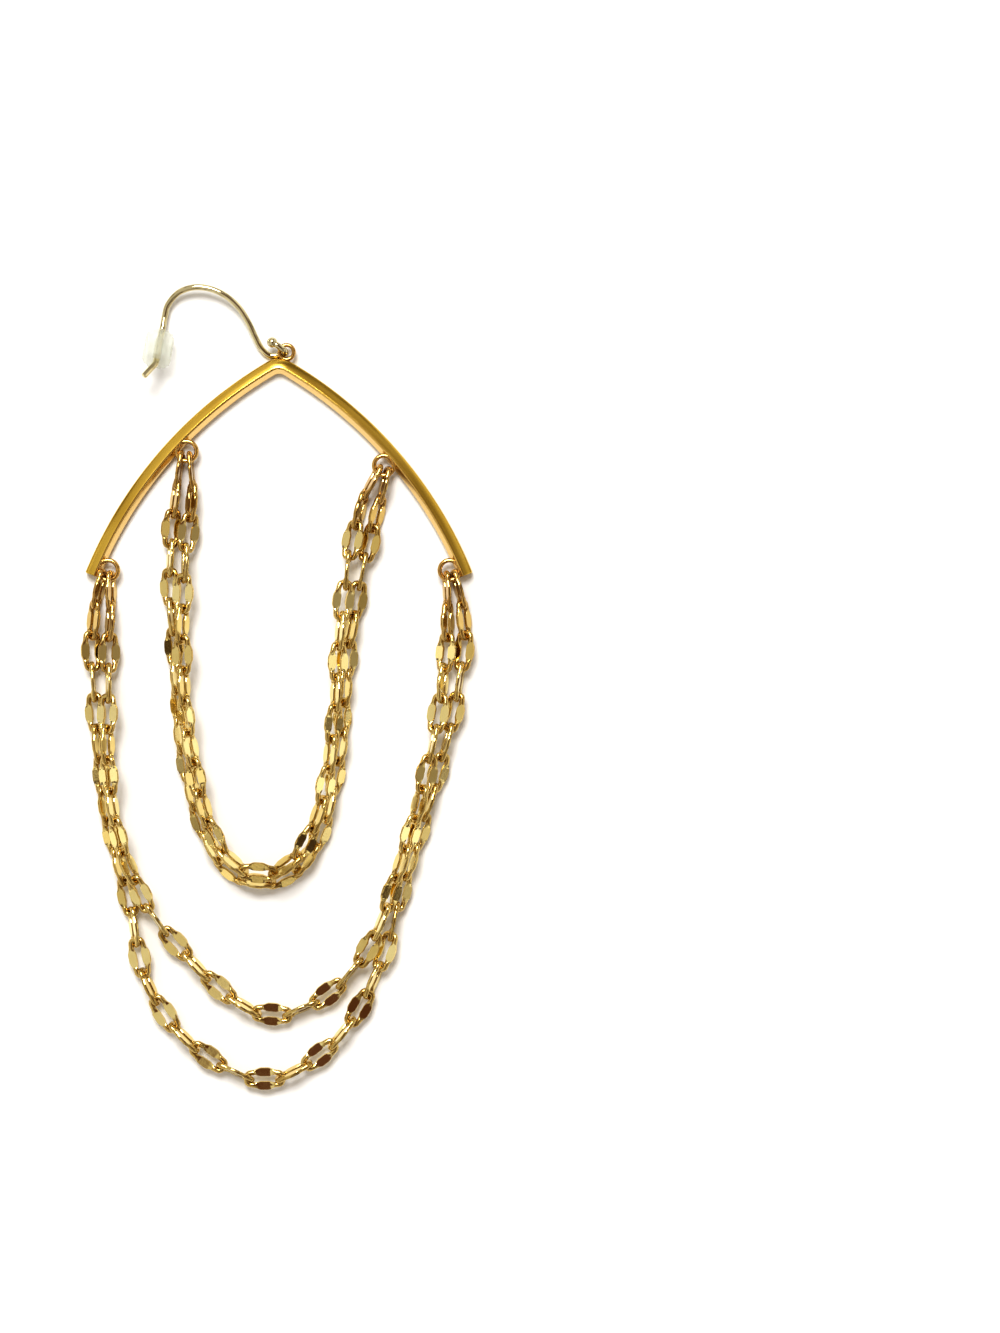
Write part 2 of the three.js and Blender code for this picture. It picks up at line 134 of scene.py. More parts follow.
def skin(name, grids, looped, marks=None):
    """A mesh over grids of points [part, station, corner, xyz], in millimetres from the peak.

    Each point and its neighbours along and around make a quad. Every station closes on itself, and
    the stations close in a loop or on two flat ends. The UV map runs along and around in
    millimetres, and marks are numbers held at every point under a name of their own.
    """
    parts, stations, corners = grids.shape[:3]
    steps = stations if looped else stations - 1
    part, along, around = np.meshgrid(
        np.arange(parts), np.arange(steps), np.arange(corners), indexing="ij"
    )
    ahead = (along + 1) % stations
    beside = (around + 1) % corners
    base = part * stations * corners
    quads = np.stack(
        [base + along * corners + around, base + along * corners + beside,
         base + ahead * corners + beside, base + ahead * corners + around],
        axis=-1,
    ).reshape(-1, 4)
    gap_along = np.linalg.norm(np.roll(grids, -1, axis=1) - grids, axis=-1).mean(axis=2)
    gap_around = np.linalg.norm(np.roll(grids, -1, axis=2) - grids, axis=-1).mean(axis=1)
    run = np.concatenate([np.zeros((parts, 1)), np.cumsum(gap_along, axis=1)], axis=1)
    girth = np.concatenate([np.zeros((parts, 1)), np.cumsum(gap_around, axis=1)], axis=1)
    uv = np.stack(
        [np.stack([run[part, along + on], girth[part, around + over]], axis=-1)
         for on, over in ((0, 0), (0, 1), (1, 1), (1, 0))],
        axis=-2,
    ).reshape(-1, 2)
    faces = quads.tolist()
    if not looped:
        first = np.arange(corners)[::-1] + (np.arange(parts) * stations * corners)[:, None]
        last = np.arange(corners) + ((np.arange(parts) + 1) * stations - 1)[:, None] * corners
        faces += first.tolist() + last.tolist()
        flat = np.tile(girth[:, :corners, None], (2, 1, 2)).reshape(-1, 2)
        uv = np.concatenate([uv, flat])
    mesh = bpy.data.meshes.new(name)
    mesh.from_pydata((grids.reshape(-1, 3) + peak) / MM_PER_METRE, [], faces)
    mesh.uv_layers.new(name="run").data.foreach_set("uv", uv.astype(np.float32).ravel())
    for mark, values in (marks or {}).items():
        held = mesh.attributes.new(mark, "FLOAT", "POINT")
        held.data.foreach_set("value", values.astype(np.float32).ravel())
    mesh.shade_smooth()
    mesh.set_sharp_from_angle(angle=SHARP_ANGLE)
    mesh.update()
    piece = bpy.data.objects.new(name, mesh)
    bpy.context.scene.collection.objects.link(piece)
    return piece


def bar_surface():
    """The bar's outline, carried along its centre line with its back on the table.

    A point is the centre line, plus its share of the outward direction, plus its height. The last
    station at each end draws the outline in towards its middle, for a softly filed edge.
    """
    ridge = BAR_RIDGE_FROM_INNER - BAR_WIDTH / 2
    crown = ((BAR_WIDTH / 2 + ridge) / 2, (BAR_OUTER_WALL + BAR_HEIGHT) / 2 + BAR_CROWN)
    cuts = np.array([BAR_EDGE, BAR_EDGE, BAR_EDGE, CROWN_SPREAD, RIDGE_EDGE, BAR_EDGE])[:, None]
    outline = rounded(
        [(-BAR_WIDTH / 2, 0), (BAR_WIDTH / 2, 0), (BAR_WIDTH / 2, BAR_OUTER_WALL), crown,
         (ridge, BAR_HEIGHT), (-BAR_WIDTH / 2, BAR_INNER_WALL)],
        cuts, CORNER_STEPS,
    )
    bend = np.linspace(-PEAK_SLOPE, PEAK_SLOPE, BEND_STATIONS)
    arm = np.linspace(PEAK_SLOPE, END_SLOPE, ARM_STATIONS)[1:]
    tip = END_BEVEL / ARM_RADIUS
    arm = np.concatenate([arm[:-1], [END_SLOPE - tip, END_SLOPE]])
    slope = np.concatenate([-arm[::-1], bend, arm])
    centre = bar_centre(slope)
    outward = np.stack([np.sin(slope), np.cos(slope), np.zeros_like(slope)], axis=-1)
    middle = outline.mean(axis=0)
    draw = np.ones(len(slope))
    draw[[0, -1]] = 1 - END_BEVEL / (BAR_WIDTH / 2)
    section = middle + (outline - middle) * draw[:, None, None]
    points = centre[:, None] + outward[:, None] * section[..., :1]
    points[..., 2] += section[..., 1]
    return points[None]


# The bevel mark tells where the bar's painted sheen goes.
def bar_bevel(points):
    """1 on the inner bevel and 0 elsewhere, rising across the ridge: of the outline's corners, in
    order from the back, the ridge is the last but one and the bevel's lower edge the last."""
    share = np.concatenate([np.zeros(4 * CORNER_STEPS), np.linspace(0, 1, CORNER_STEPS),
                            np.ones(CORNER_STEPS)])
    return np.broadcast_to(share, points.shape[:-1])


class Value:
    """A number that changes over a surface: a node's output. Sums on it add their Math nodes."""

    def __init__(self, finish, socket):
        self.finish = finish
        self.socket = socket

    def maths(self, operation, first, second):
        return self.finish.node("ShaderNodeMath", {"operation": operation}, {0: first, 1: second})

    def __add__(self, other):
        return self.maths("ADD", self, other)

    __radd__ = __add__

    def __sub__(self, other):
        return self.maths("SUBTRACT", self, other)

    def __rsub__(self, other):
        return self.maths("SUBTRACT", other, self)

    def __mul__(self, other):
        return self.maths("MULTIPLY", self, other)

    __rmul__ = __mul__


class Finish:
    """The finish of a material, or of the room's light, built node by node on its own shader."""

    def __init__(self, holder, constants, shader="Principled BSDF"):
        holder.use_nodes = True
        self.holder = holder
        self.tree = holder.node_tree
        self.shader = self.tree.nodes[shader]
        self.give(constants)

    def feed(self, socket, value):
        """A socket's link, for a value that changes over the surface, or else its number."""
        if isinstance(value, Value):
            self.tree.links.new(value.socket, socket)
        else:
            socket.default_value = value

    def give(self, inputs):
        """Values for the shader's own sockets, by name."""
        for name, value in inputs.items():
            self.feed(self.shader.inputs[name], value)

    def node(self, kind, settings, inputs, out=0):
        """A new node with its settings, then its sockets' values or links. Gives one output."""
        made = self.tree.nodes.new(kind)
        for name, value in settings.items():
            setattr(made, name, value)
        for name, value in inputs.items():
            self.feed(made.inputs[name], value)
        return Value(self, made.outputs[out])

    def cloud(self, where, lumps, detail=3.0, stretch=(1.0, 1.0, 1.0)):
        """Soft noise from 0 to 1, with so many lumps in each unit of the place that it reads. They
        are drawn out along an axis whose stretch is below 1."""
        place = self.node("ShaderNodeMapping", {}, {"Vector": where, "Scale": stretch})
        inputs = {"Vector": place, "Scale": lumps, "Detail": detail}
        return self.node("ShaderNodeTexNoise", {}, inputs)

    def blend(self, share, first, second):
        """One colour turning into another as the share goes from 0 to 1."""
        settings = {"data_type": "RGBA", "clamp_factor": True}
        return self.node("ShaderNodeMix", settings, {0: share, 6: first, 7: second}, out=2)

    def span(self, value, low, high):
        """0 below the low value, 1 above the high one, and even between them."""
        inputs = {"Value": value, "From Min": low, "From Max": high}
        return self.node("ShaderNodeMapRange", {}, inputs)


def plated_metal(name, deep, light, dull, streaked):
    """Polished plate, with its colour beside it for a piece that changes it once more.

    The colour drifts from deep to light in soft patches, the plate is duller in faint streaks
    drawn along the piece, and streaks and grain sink into it by thousandths of a millimetre.
    """
    finish = Finish(bpy.data.materials.new(name), {"Metallic": 1.0, "Specular IOR Level": 0.5})
    place = finish.node("ShaderNodeTexCoord", {}, {}, "Object")
    run = finish.node("ShaderNodeTexCoord", {}, {}, "UV")
    patch = finish.cloud(place, PLATE_PATCHES)
    streak = finish.cloud(run, PLATE_STREAKS, 3.0, PLATE_STREAK_STRETCH)
    grain = finish.cloud(place, PLATE_GRAIN, 2.0)
    color = finish.blend(finish.span(patch, *PLATE_PATCH_SPAN), deep, light)
    finish.give({
        "Base Color": color,
        "Roughness": dull + streaked * finish.span(streak, *PLATE_STREAK_SPAN),
        "Normal": finish.node("ShaderNodeBump", {}, {
            "Strength": PLATE_RELIEF, "Distance": PLATE_RELIEF_DEPTH,
            "Height": 0.5 * streak + 0.5 * grain,
        }),
    })
    return finish, color


bar_finish, bar_color = plated_metal(
    "deep_gold_plate", BAR_DEEP, BAR_LIGHT, BAR_DULL, BAR_STREAKED
)
# Painted sheen: the bar's colour turns paler on the inner bevel, standing for the light that face
# catches.
bevel_share = bar_finish.node("ShaderNodeAttribute", {"attribute_name": "bevel"}, {}, "Fac")
bar_finish.give({"Base Color": bar_finish.blend(bevel_share, bar_color, BAR_BEVEL_SHEEN)})
bar_points = bar_surface()
bar = skin("bar", bar_points, False, {"bevel": bar_bevel(bar_points)})
bar.data.materials.append(bar_finish.holder)
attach(bar, "root")
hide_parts("arch_bar")


# The rings: round brass wire closed to small rings and soldered on, one at the peak for the ear
# wire and four under the inner bevel for the chains. Each lies flat, level with what hangs in it.
RING_WIRE = 0.5
RING_BORE = 1.7
SOLDER_DEPTH = 0.75
INNER_RING_LEFT = 14.2
INNER_RING_RIGHT = 16.4
OUTER_RING_INSET = 1.2
RING_STATIONS = 40
RING_SIDES = 16
RING_DEEP = (0.50, 0.29, 0.09, 1)
RING_LIGHT = (0.72, 0.48, 0.17, 1)
RING_DULL = 0.12
RING_STREAKED = 0.08
HOOK_WIRE = 0.7
HOOK_CLEARANCE = 0.1
FLOOR_CLEARANCE = 0.04
LINK_WIDTH = 2.55
STRAND_HEIGHT = LINK_WIDTH / 2 + FLOOR_CLEARANCE
PEAK_RING_HEIGHT = HOOK_WIRE + HOOK_CLEARANCE + PEAK_RING_WIRE / 2 + FLOOR_CLEARANCE
RING_RADIUS = (RING_BORE + RING_WIRE) / 2
ARM_LENGTH = PEAK_BEND_RADIUS * PEAK_SLOPE + ARM_RADIUS * (END_SLOPE - PEAK_SLOPE)


def ring_centre(side, length):
    """The centre of a ring on the left (-1) or right (1) arm: at a length along the bar from its
    peak, and in from its centre line until the ring's wire is sunk in the bevel."""
    slope = side * (PEAK_SLOPE + (length - PEAK_BEND_RADIUS * PEAK_SLOPE) / ARM_RADIUS)
    reach = BAR_WIDTH / 2 + RING_RADIUS + RING_WIRE / 2 - SOLDER_DEPTH
    outward = np.array([math.sin(slope), math.cos(slope), 0])
    centre = bar_centre(np.array([slope]))[0] - reach * outward
    centre[2] = STRAND_HEIGHT
    return centre


RINGS = {
    "inner_left": ring_centre(-1, INNER_RING_LEFT),
    "inner_right": ring_centre(1, INNER_RING_RIGHT),
    "outer_left": ring_centre(-1, ARM_LENGTH - OUTER_RING_INSET),
    "outer_right": ring_centre(1, ARM_LENGTH - OUTER_RING_INSET),
}
PEAK_RING = np.array([PEAK_RING_ACROSS, PEAK_RING_UP, PEAK_RING_HEIGHT])


def ring_surface(centre, radius, wire):
    """A flat torus: a circle of the wire's radius, carried round a circle of the ring's radius."""
    turn = np.linspace(0, 2 * np.pi, RING_STATIONS, endpoint=False)[:, None]
    round_wire = np.linspace(0, 2 * np.pi, RING_SIDES, endpoint=False)[None, :]
    out = radius + wire / 2 * np.cos(round_wire)
    up = wire / 2 * np.sin(round_wire) + 0 * turn
    return centre + np.stack([out * np.sin(turn), out * np.cos(turn), up], axis=-1)


ring_finish, _ = plated_metal(
    "ring_gold_plate", RING_DEEP, RING_LIGHT, RING_DULL, RING_STREAKED
)
chain_ring_points = [ring_surface(centre, RING_RADIUS, RING_WIRE) for centre in RINGS.values()]
chain_rings = skin("chain_rings", np.stack(chain_ring_points), looped=True)
peak_ring_points = ring_surface(PEAK_RING, PEAK_RING_RADIUS, PEAK_RING_WIRE)
peak_ring = skin("peak_ring", peak_ring_points[None], looped=True)
for ring in (chain_rings, peak_ring):
    ring.data.materials.append(ring_finish.holder)
    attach(ring, "root")


# The ear wire: round wire bent to a fish hook, plated in a paler gold than the bar. Its front end
# goes under the peak ring, up through it and back over, and is melted to a small ball there.
HOOK_BALL = 1.15
HOOK_REACH = 13.1
HOOK_RISE = 7.9
HOOK_LIFT = 1.5
HOOK_TIP = 2.1
HOOK_DEEP = (0.62, 0.54, 0.33, 1)
HOOK_LIGHT = (0.80, 0.72, 0.47, 1)
HOOK_DULL = 0.06
HOOK_STREAKED = 0.05
HOOK_STATIONS = 340
HOOK_SIDES = 20
BALL_STATIONS = 14
BALL_NECK_STATIONS = 10
BALL_POLE_RADIUS = 0.001

# The hook's back leg runs down the stopper's axis, so the stopper's place is needed here.
STOPPER_DIAMETER = 3.2
STOPPER_LENGTH = 3.4
STOPPER_LEAN = math.radians(30)
STOPPER_TURN = math.radians(7)
STOPPER_RISE = 3.3
STOPPER_AXIS = np.array([
    -math.sin(STOPPER_TURN) * math.cos(STOPPER_LEAN),
    -math.cos(STOPPER_TURN) * math.cos(STOPPER_LEAN),
    math.sin(STOPPER_LEAN),
])
STOPPER_TOP = np.array([
    -HOOK_REACH, STOPPER_RISE, STOPPER_DIAMETER / 2 * math.cos(STOPPER_LEAN) + FLOOR_CLEARANCE
])

# Shares of the hook's reach, rise and lift, from the stopper over the arch to the peak.
HOOK_ARCH = np.array([
    (-0.985, 0.42, 0.72), (-0.966, 0.61, 0.58), (-0.94, 0.76, 0.6), (-0.85, 0.925, 0.78),
    (-0.73, 0.995, 0.95), (-0.6, 0.985, 1), (-0.46, 0.89, 0.98), (-0.34, 0.72, 0.9),
    (-0.255, 0.5, 0.76), (-0.2, 0.3, 0.58), (-0.155, 0.16, 0.42), (-0.09, 0.06, 0.3),
])

# Shares of the peak ring's radius across and up, and of the way from below its rim to above it.
HOOK_EYE = np.array([
    (-1.7, -0.44, 0.02), (-0.85, -0.34, 0), (-0.3, -0.16, 0.16), (-0.1, 0, 0.5),
    (-0.36, 0.24, 0.86), (-0.95, 0.7, 1), (-1.95, 1.3, 1),
])

# Shares of the stopper's length, up its axis from its top, and of the bare tip beyond it.
HOOK_LEG = np.array([1.08, 0.75, 0.4, 0])
HOOK_TIP_SHARES = np.array([1, 0.45])
TIP_DIRECTION = np.array([-0.6, -0.72, 0.35])
TIP_ROUND = 0.12


def spline(points, places):
    """A smooth curve through chosen points, at places counted in points from the first.

    Between two points it is a cubic whose speed at each end is the mean slope there, each stretch
    counted as long as the square root of its chord, so tight bends don't overshoot.
    """
    points = np.asarray(points, float)
    padded = np.concatenate([[2 * points[0] - points[1]], points, [2 * points[-1] - points[-2]]])
    start = np.clip(np.floor(places).astype(int), 0, len(points) - 2)
    share = (places - start)[:, None]
    a, b, c, d = (padded[start + k] for k in range(4))
    first, second, third = (
        np.sqrt(np.linalg.norm(q - p, axis=1, keepdims=True)) for p, q in ((a, b), (b, c), (c, d))
    )
    leave = (b - a) / first - (c - a) / (first + second) + (c - b) / second
    arrive = (c - b) / second - (d - b) / (second + third) + (d - c) / third
    leave, arrive = leave * second, arrive * second
    return (b + leave * share + (3 * c - 3 * b - 2 * leave - arrive) * share**2
            + (2 * b - 2 * c + leave + arrive) * share**3)


def wire_surface(path, radius, corners):
    """A round wire along a path, with its own radius at every station.

    The section stands square to the path on two directions: one level with the table, and one at
    right angles to both. A point is the centre, plus radius times cosine and sine along them.
    """
    ahead = np.gradient(path, axis=0)
    ahead /= np.linalg.norm(ahead, axis=1, keepdims=True)
    level = np.cross(ahead, [0, 0, 1])
    level /= np.linalg.norm(level, axis=1, keepdims=True)
    rise = np.cross(ahead, level)
    turn = np.linspace(0, 2 * np.pi, corners, endpoint=False)[None, :, None]
    rim = np.cos(turn) * level[:, None] + np.sin(turn) * rise[:, None]
    return path[:, None] + radius[:, None, None] * rim


def hook_surface():
    """The ear wire, along its path from the tip to the ball.

    The tip's first stations widen on a quarter circle. The other end swells to a ball, whose
    radius at each station is the root of the ball's radius squared less the run from its middle
    squared.
    """
    leg = STOPPER_TOP + HOOK_LEG[:, None] * STOPPER_LENGTH * STOPPER_AXIS
    lean = TIP_DIRECTION / np.linalg.norm(TIP_DIRECTION)
    tip = leg[0] + HOOK_TIP_SHARES[:, None] * HOOK_TIP * lean
    arch = HOOK_ARCH * [HOOK_REACH, HOOK_RISE, HOOK_LIFT] + [0, BAR_WIDTH / 2, 0]
    under = HOOK_WIRE / 2 + FLOOR_CLEARANCE
    over = 2 * PEAK_RING[2] - under
    eye = PEAK_RING + HOOK_EYE * [PEAK_RING_RADIUS, PEAK_RING_RADIUS, over - under]
    eye[:, 2] += under - PEAK_RING[2]
    points = np.concatenate([tip, leg, arch, eye])
    path = spline(points, np.linspace(0, len(points) - 1, HOOK_STATIONS))
    beyond = path[-1] - path[-2]
    beyond /= np.linalg.norm(beyond)
    run = np.concatenate([[0], np.cumsum(np.linalg.norm(np.diff(path, axis=0), axis=1))])
    neck = math.asin(HOOK_WIRE / HOOK_BALL)
    before = -HOOK_BALL / 2 * np.cos(np.linspace(neck, np.pi / 2, BALL_NECK_STATIONS))
    after = HOOK_BALL / 2 * np.sin(np.linspace(0, np.pi / 2, BALL_STATIONS)[1:])
    keep = run < run[-1] + before[0]
    path = np.concatenate([
        path[keep], path[-1] + before[:, None] * beyond, path[-1] + after[:, None] * beyond
    ])
    radius = np.concatenate([
        np.full(keep.sum(), HOOK_WIRE / 2),
        np.sqrt((HOOK_BALL / 2) ** 2 - before**2),
        np.sqrt(np.maximum((HOOK_BALL / 2) ** 2 - after**2, BALL_POLE_RADIUS**2)),
    ])
    start = np.minimum(run[keep] / TIP_ROUND, 1)
    radius[: keep.sum()] -= TIP_ROUND * (1 - np.sqrt(1 - (1 - start) ** 2))
    return wire_surface(path, radius, HOOK_SIDES)[None]


hook_finish, _ = plated_metal(
    "pale_gold_plate", HOOK_DEEP, HOOK_LIGHT, HOOK_DULL, HOOK_STREAKED
)
ear_wire = skin("ear_wire", hook_surface(), looped=False)
ear_wire.data.materials.append(hook_finish.holder)
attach(ear_wire, "root")
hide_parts("ear_hook")


# The stopper: a short ribbed barrel of clear silicone, moulded with a bore down its middle and
# pushed up the hook's back leg. It leans on its upper rim with its lower end raised.
STOPPER_RIBS = 14
STOPPER_RIB_DEPTH = 0.18
STOPPER_BORE = 1.0
STOPPER_EDGE = 0.22
STOPPER_EDGE_STEPS = 6
STATIONS_PER_RIB = 16
SILICONE_PALE = (0.84, 0.87, 0.76, 1)
SILICONE_DEEP = (0.74, 0.77, 0.66, 1)
SILICONE_DULL = 0.18
SILICONE_HAZY = 0.14
HAZE_LUMPS = 900.0
HAZE_RELIEF = 0.25
HAZE_DEPTH = 0.00002


def stopper_surface():
    """A soft-cornered block turned round the barrel's axis.

    Its outer wall goes in and out with the cosine of ribs times the turn, and the bore stays round:
    the ripple fades with the square of how far a point lies between bore and wall.
    """
    inner, outer = STOPPER_BORE / 2, STOPPER_DIAMETER / 2
    corners = [(outer, STOPPER_LENGTH), (outer, 0), (inner, 0), (inner, STOPPER_LENGTH)]
    block = rounded(corners, STOPPER_EDGE, STOPPER_EDGE_STEPS)
    turn = np.linspace(0, 2 * np.pi, STATIONS_PER_RIB * STOPPER_RIBS, endpoint=False)[:, None]
    share = (block[None, :, 0] - inner) / (outer - inner)
    ripple = STOPPER_RIB_DEPTH * (1 - np.cos(STOPPER_RIBS * turn)) / 2
    out = block[None, :, 0] - ripple * share**2
    level = np.cross(STOPPER_AXIS, [0, 0, 1])
    level /= np.linalg.norm(level)
    rise = np.cross(STOPPER_AXIS, level)
    rim = np.cos(turn)[..., None] * level + np.sin(turn)[..., None] * rise
    along = (block[None, :, 1] + 0 * turn)[..., None] * STOPPER_AXIS
    return (STOPPER_TOP + along + out[..., None] * rim)[None]


silicone = Finish(bpy.data.materials.new("clear_silicone"), {
    "Metallic": 0.0, "IOR": 1.41, "Transmission Weight": 0.15, "Alpha": 0.33,
})
silicone_place = silicone.node("ShaderNodeTexCoord", {}, {}, "Object")
haze = silicone.cloud(silicone_place, HAZE_LUMPS, 4.0)
silicone.give({
    "Base Color": silicone.blend(haze, SILICONE_PALE, SILICONE_DEEP),
    "Roughness": SILICONE_DULL + SILICONE_HAZY * haze,
    "Normal": silicone.node("ShaderNodeBump", {}, {
        "Strength": HAZE_RELIEF, "Distance": HAZE_DEPTH, "Height": haze,
    }),
})
clear_stopper = skin("clear_stopper", stopper_surface(), looped=True)
clear_stopper.data.materials.append(silicone.holder)
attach(clear_stopper, "root")
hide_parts("stopper")


# The chains: oval links of round brass wire, closed one through the next. Both long sides of every
# link are hammered flat, front and back, to a six-sided mirror. Two strands share each pair of
# rings and lie twisted over each other, and the strands of the long swag part at the bottom.
LINK_WIRE = 0.6
LINK_PITCH = 3.45
LINK_END_SHARE = 0.77
KNEE_ALONG = 0.4
KNEE_OUT = 0.96
LONG_SIDE_FROM = 0.75
MIRROR_WIDTH = 1.0
MIRROR_THICKNESS = 0.36
MIRROR_HALF = 0.98
MIRROR_BROAD_HALF = 0.42
MIRROR_SLOPE = 0.14
MIRROR_RIM = 0.03
MIRROR_SLACK = 0.01
MIRROR_SINE = 0.55
MIRROR_SQUARENESS = 0.5
LINK_STATIONS = 44
LINK_CORNERS = 14
CUTS_PER_STATION = 8
SOFTENING_CUTS = 14

# A swag's strands: the distances between them, the angles in degrees by which their links turn,
# roll, lean and sway, and how far they have to part before their links lie free.
RING_CLEARANCE = 0.14
BUNDLE_SPACING = 1.9
STRAND_SPREAD = 7.2
BUNDLE_TURN = 64.0
BUNDLE_ROLL = 58.0
END_ROLL = 47.0
FREE_ROLL = 90.0
SNUG_SWAY = 10.0
SNUG_LEAN = 19.0
FREE_LEAN = 4.0
EDGE_LEAN = 14.0
PITCH_SWAY = 3.0
FREE_CALM = 0.75
FLAT_SINE = 0.5
SNUG_OPEN = 0.06
FREE_OPEN = 0.3
INNER_DROP = 46.8
OUTER_DROP = 53.0
ROUTE_STATIONS = 1001
ROUTE_STEP = 1e-4

# The links' gold is painted paler on the mirrors, a painted sheen, and darker on the round wire
# between them, painted shade for the crevices between links. The first links at each ring are
# painted browner, painted shade for the links bunched there.
CHAIN_MIRROR_SHEEN = ((0.68, 0.50, 0.16, 1), (1.0, 0.87, 0.47, 1))
CHAIN_WIRE_SHADE = ((0.42, 0.26, 0.06, 1), (0.86, 0.68, 0.30, 1))
CHAIN_RING_SHADE = (0.50, 0.29, 0.09, 1)
RING_SHADE_LINKS = 2.5
CHAIN_DULL = 0.13
CHAIN_PATCHY = 0.08
MIRROR_POLISH = 0.07
CHAIN_PATCHES = 700.0
CHAIN_GRAIN = 3800.0
CHAIN_RELIEF = 0.4
CHAIN_RELIEF_DEPTH = 0.00003

# The middle line of each swag: shares of the way between its rings, of its drop, of how far its
# strands have parted, and of how far the inside strand has climbed onto the other.
INNER_ROUTE = np.array([
    (-0.015, 0.11, 0, 0), (-0.045, 0.255, 0, 0.35), (-0.045, 0.4, 0, 0.8), (-0.03, 0.54, 0, 1),
    (-0.005, 0.67, 0, 1), (0.045, 0.795, 0, 1), (0.125, 0.91, 0.02, 1), (0.235, 0.98, 0.05, 1),
    (0.385, 1, 0.055, 1), (0.535, 0.97, 0.05, 1), (0.65, 0.89, 0.02, 1), (0.725, 0.77, 0, 1),
    (0.765, 0.635, 0, 1), (0.785, 0.505, 0, 1), (0.815, 0.365, 0, 0.8), (0.865, 0.225, 0, 0.35),
    (0.935, 0.09, 0, 0),
])
OUTER_ROUTE = np.array([
    (-0.02, 0.105, 0, 0), (-0.02, 0.235, 0, 0.35), (-0.015, 0.345, 0, 0.8), (0, 0.465, 0, 1),
    (0.03, 0.575, 0, 1), (0.075, 0.67, 0, 0.7), (0.11, 0.745, 0.16, 0.12), (0.17, 0.83, 0.64, 0.02),
    (0.28, 0.93, 0.9, 0), (0.46, 1, 1, 0), (0.595, 0.965, 0.64, 0), (0.69, 0.905, 0.34, 0.02),
    (0.755, 0.84, 0.1, 0.12), (0.81, 0.755, 0, 0.6), (0.85, 0.655, 0, 1), (0.895, 0.555, 0, 1),
    (0.935, 0.465, 0, 0.9), (0.975, 0.345, 0, 0.6), (1.005, 0.235, 0, 0.25), (1.02, 0.105, 0, 0),
])


def sideways(ahead):
    """Level and square to a direction, on its left."""
    left = np.stack([-ahead[..., 1], ahead[..., 0], np.zeros(ahead.shape[:-1])], axis=-1)
    return left / np.linalg.norm(left, axis=-1, keepdims=True)


def ring_hold(centre, towards, side):
    """Where a strand's first link bears on its ring: on the bore, beside the other strand's."""
    reach = RING_BORE / 2 - RING_CLEARANCE
    apart = LINK_WIRE + RING_CLEARANCE
    ahead = (towards - centre) * [1, 1, 0]
    ahead /= np.linalg.norm(ahead)
    onward = math.sqrt(reach**2 - (apart / 2) ** 2)
    return centre + ahead * onward + sideways(ahead) * side * apart / 2


def strand_joints(left, right, route, drop, side):
    """Where a strand's links meet, how far its swag's strands have parted, and their bundle's turn.

    The strand lies beside the middle line by half the strands' distance times the cosine of the
    bundle's turn. The inside strand (side 1) also climbs by the distance times the sine, and the
    other stays on the table. It runs between the two rings and is cut into an odd number of equal
    lengths, as near to the link's pitch as that allows. The openness and the turn, in degrees, are
    those at each link's middle.
    """
    level = left + (right - left) * route[:, :1]
    middle = level - route[:, 1:2] * [0, drop, 0]
    middle[:, 2] = STRAND_HEIGHT
    last = len(route) - 1
    near = np.arange(last + 1.0)
    step = ROUTE_STEP * last
    after = spline(middle, np.minimum(near + step, last))
    before = spline(middle, np.maximum(near - step, 0))
    half = (BUNDLE_SPACING + (STRAND_SPREAD - BUNDLE_SPACING) * route[:, 2:3]) / 2
    turn = np.radians(BUNDLE_TURN * route[:, 3:])
    points = middle + side * half * np.cos(turn) * sideways(after - before)
    points[:, 2:] += (1 + side) * half * np.sin(turn)
    points = np.concatenate([
        [ring_hold(left, points[0], side)], points, [ring_hold(right, points[-1], -side)]
    ])
    places = np.linspace(0, len(points) - 1, ROUTE_STATIONS)
    fine = spline(points, places)
    run = np.concatenate([[0], np.cumsum(np.linalg.norm(np.diff(fine, axis=0), axis=1))])
    count = 2 * round(run[-1] / LINK_PITCH / 2) + 1
    joints = spline(points, np.interp(np.linspace(0, run[-1], count + 1), run, places))
    middles = np.interp((np.arange(count) + 0.5) / count * run[-1], run, places)
    rows = np.arange(len(points))
    opens = np.interp(middles, rows, np.pad(route[:, 2], 1))
    return joints, opens, BUNDLE_TURN * np.interp(middles, rows, np.pad(route[:, 3], 1))


def smooth_step(value, low, high):
    """0 below the low value, 1 above the high one, with 3 t^2 - 2 t^3 between."""
    t = np.clip((value - low) / (high - low), 0, 1)
    return t * t * (3 - 2 * t)


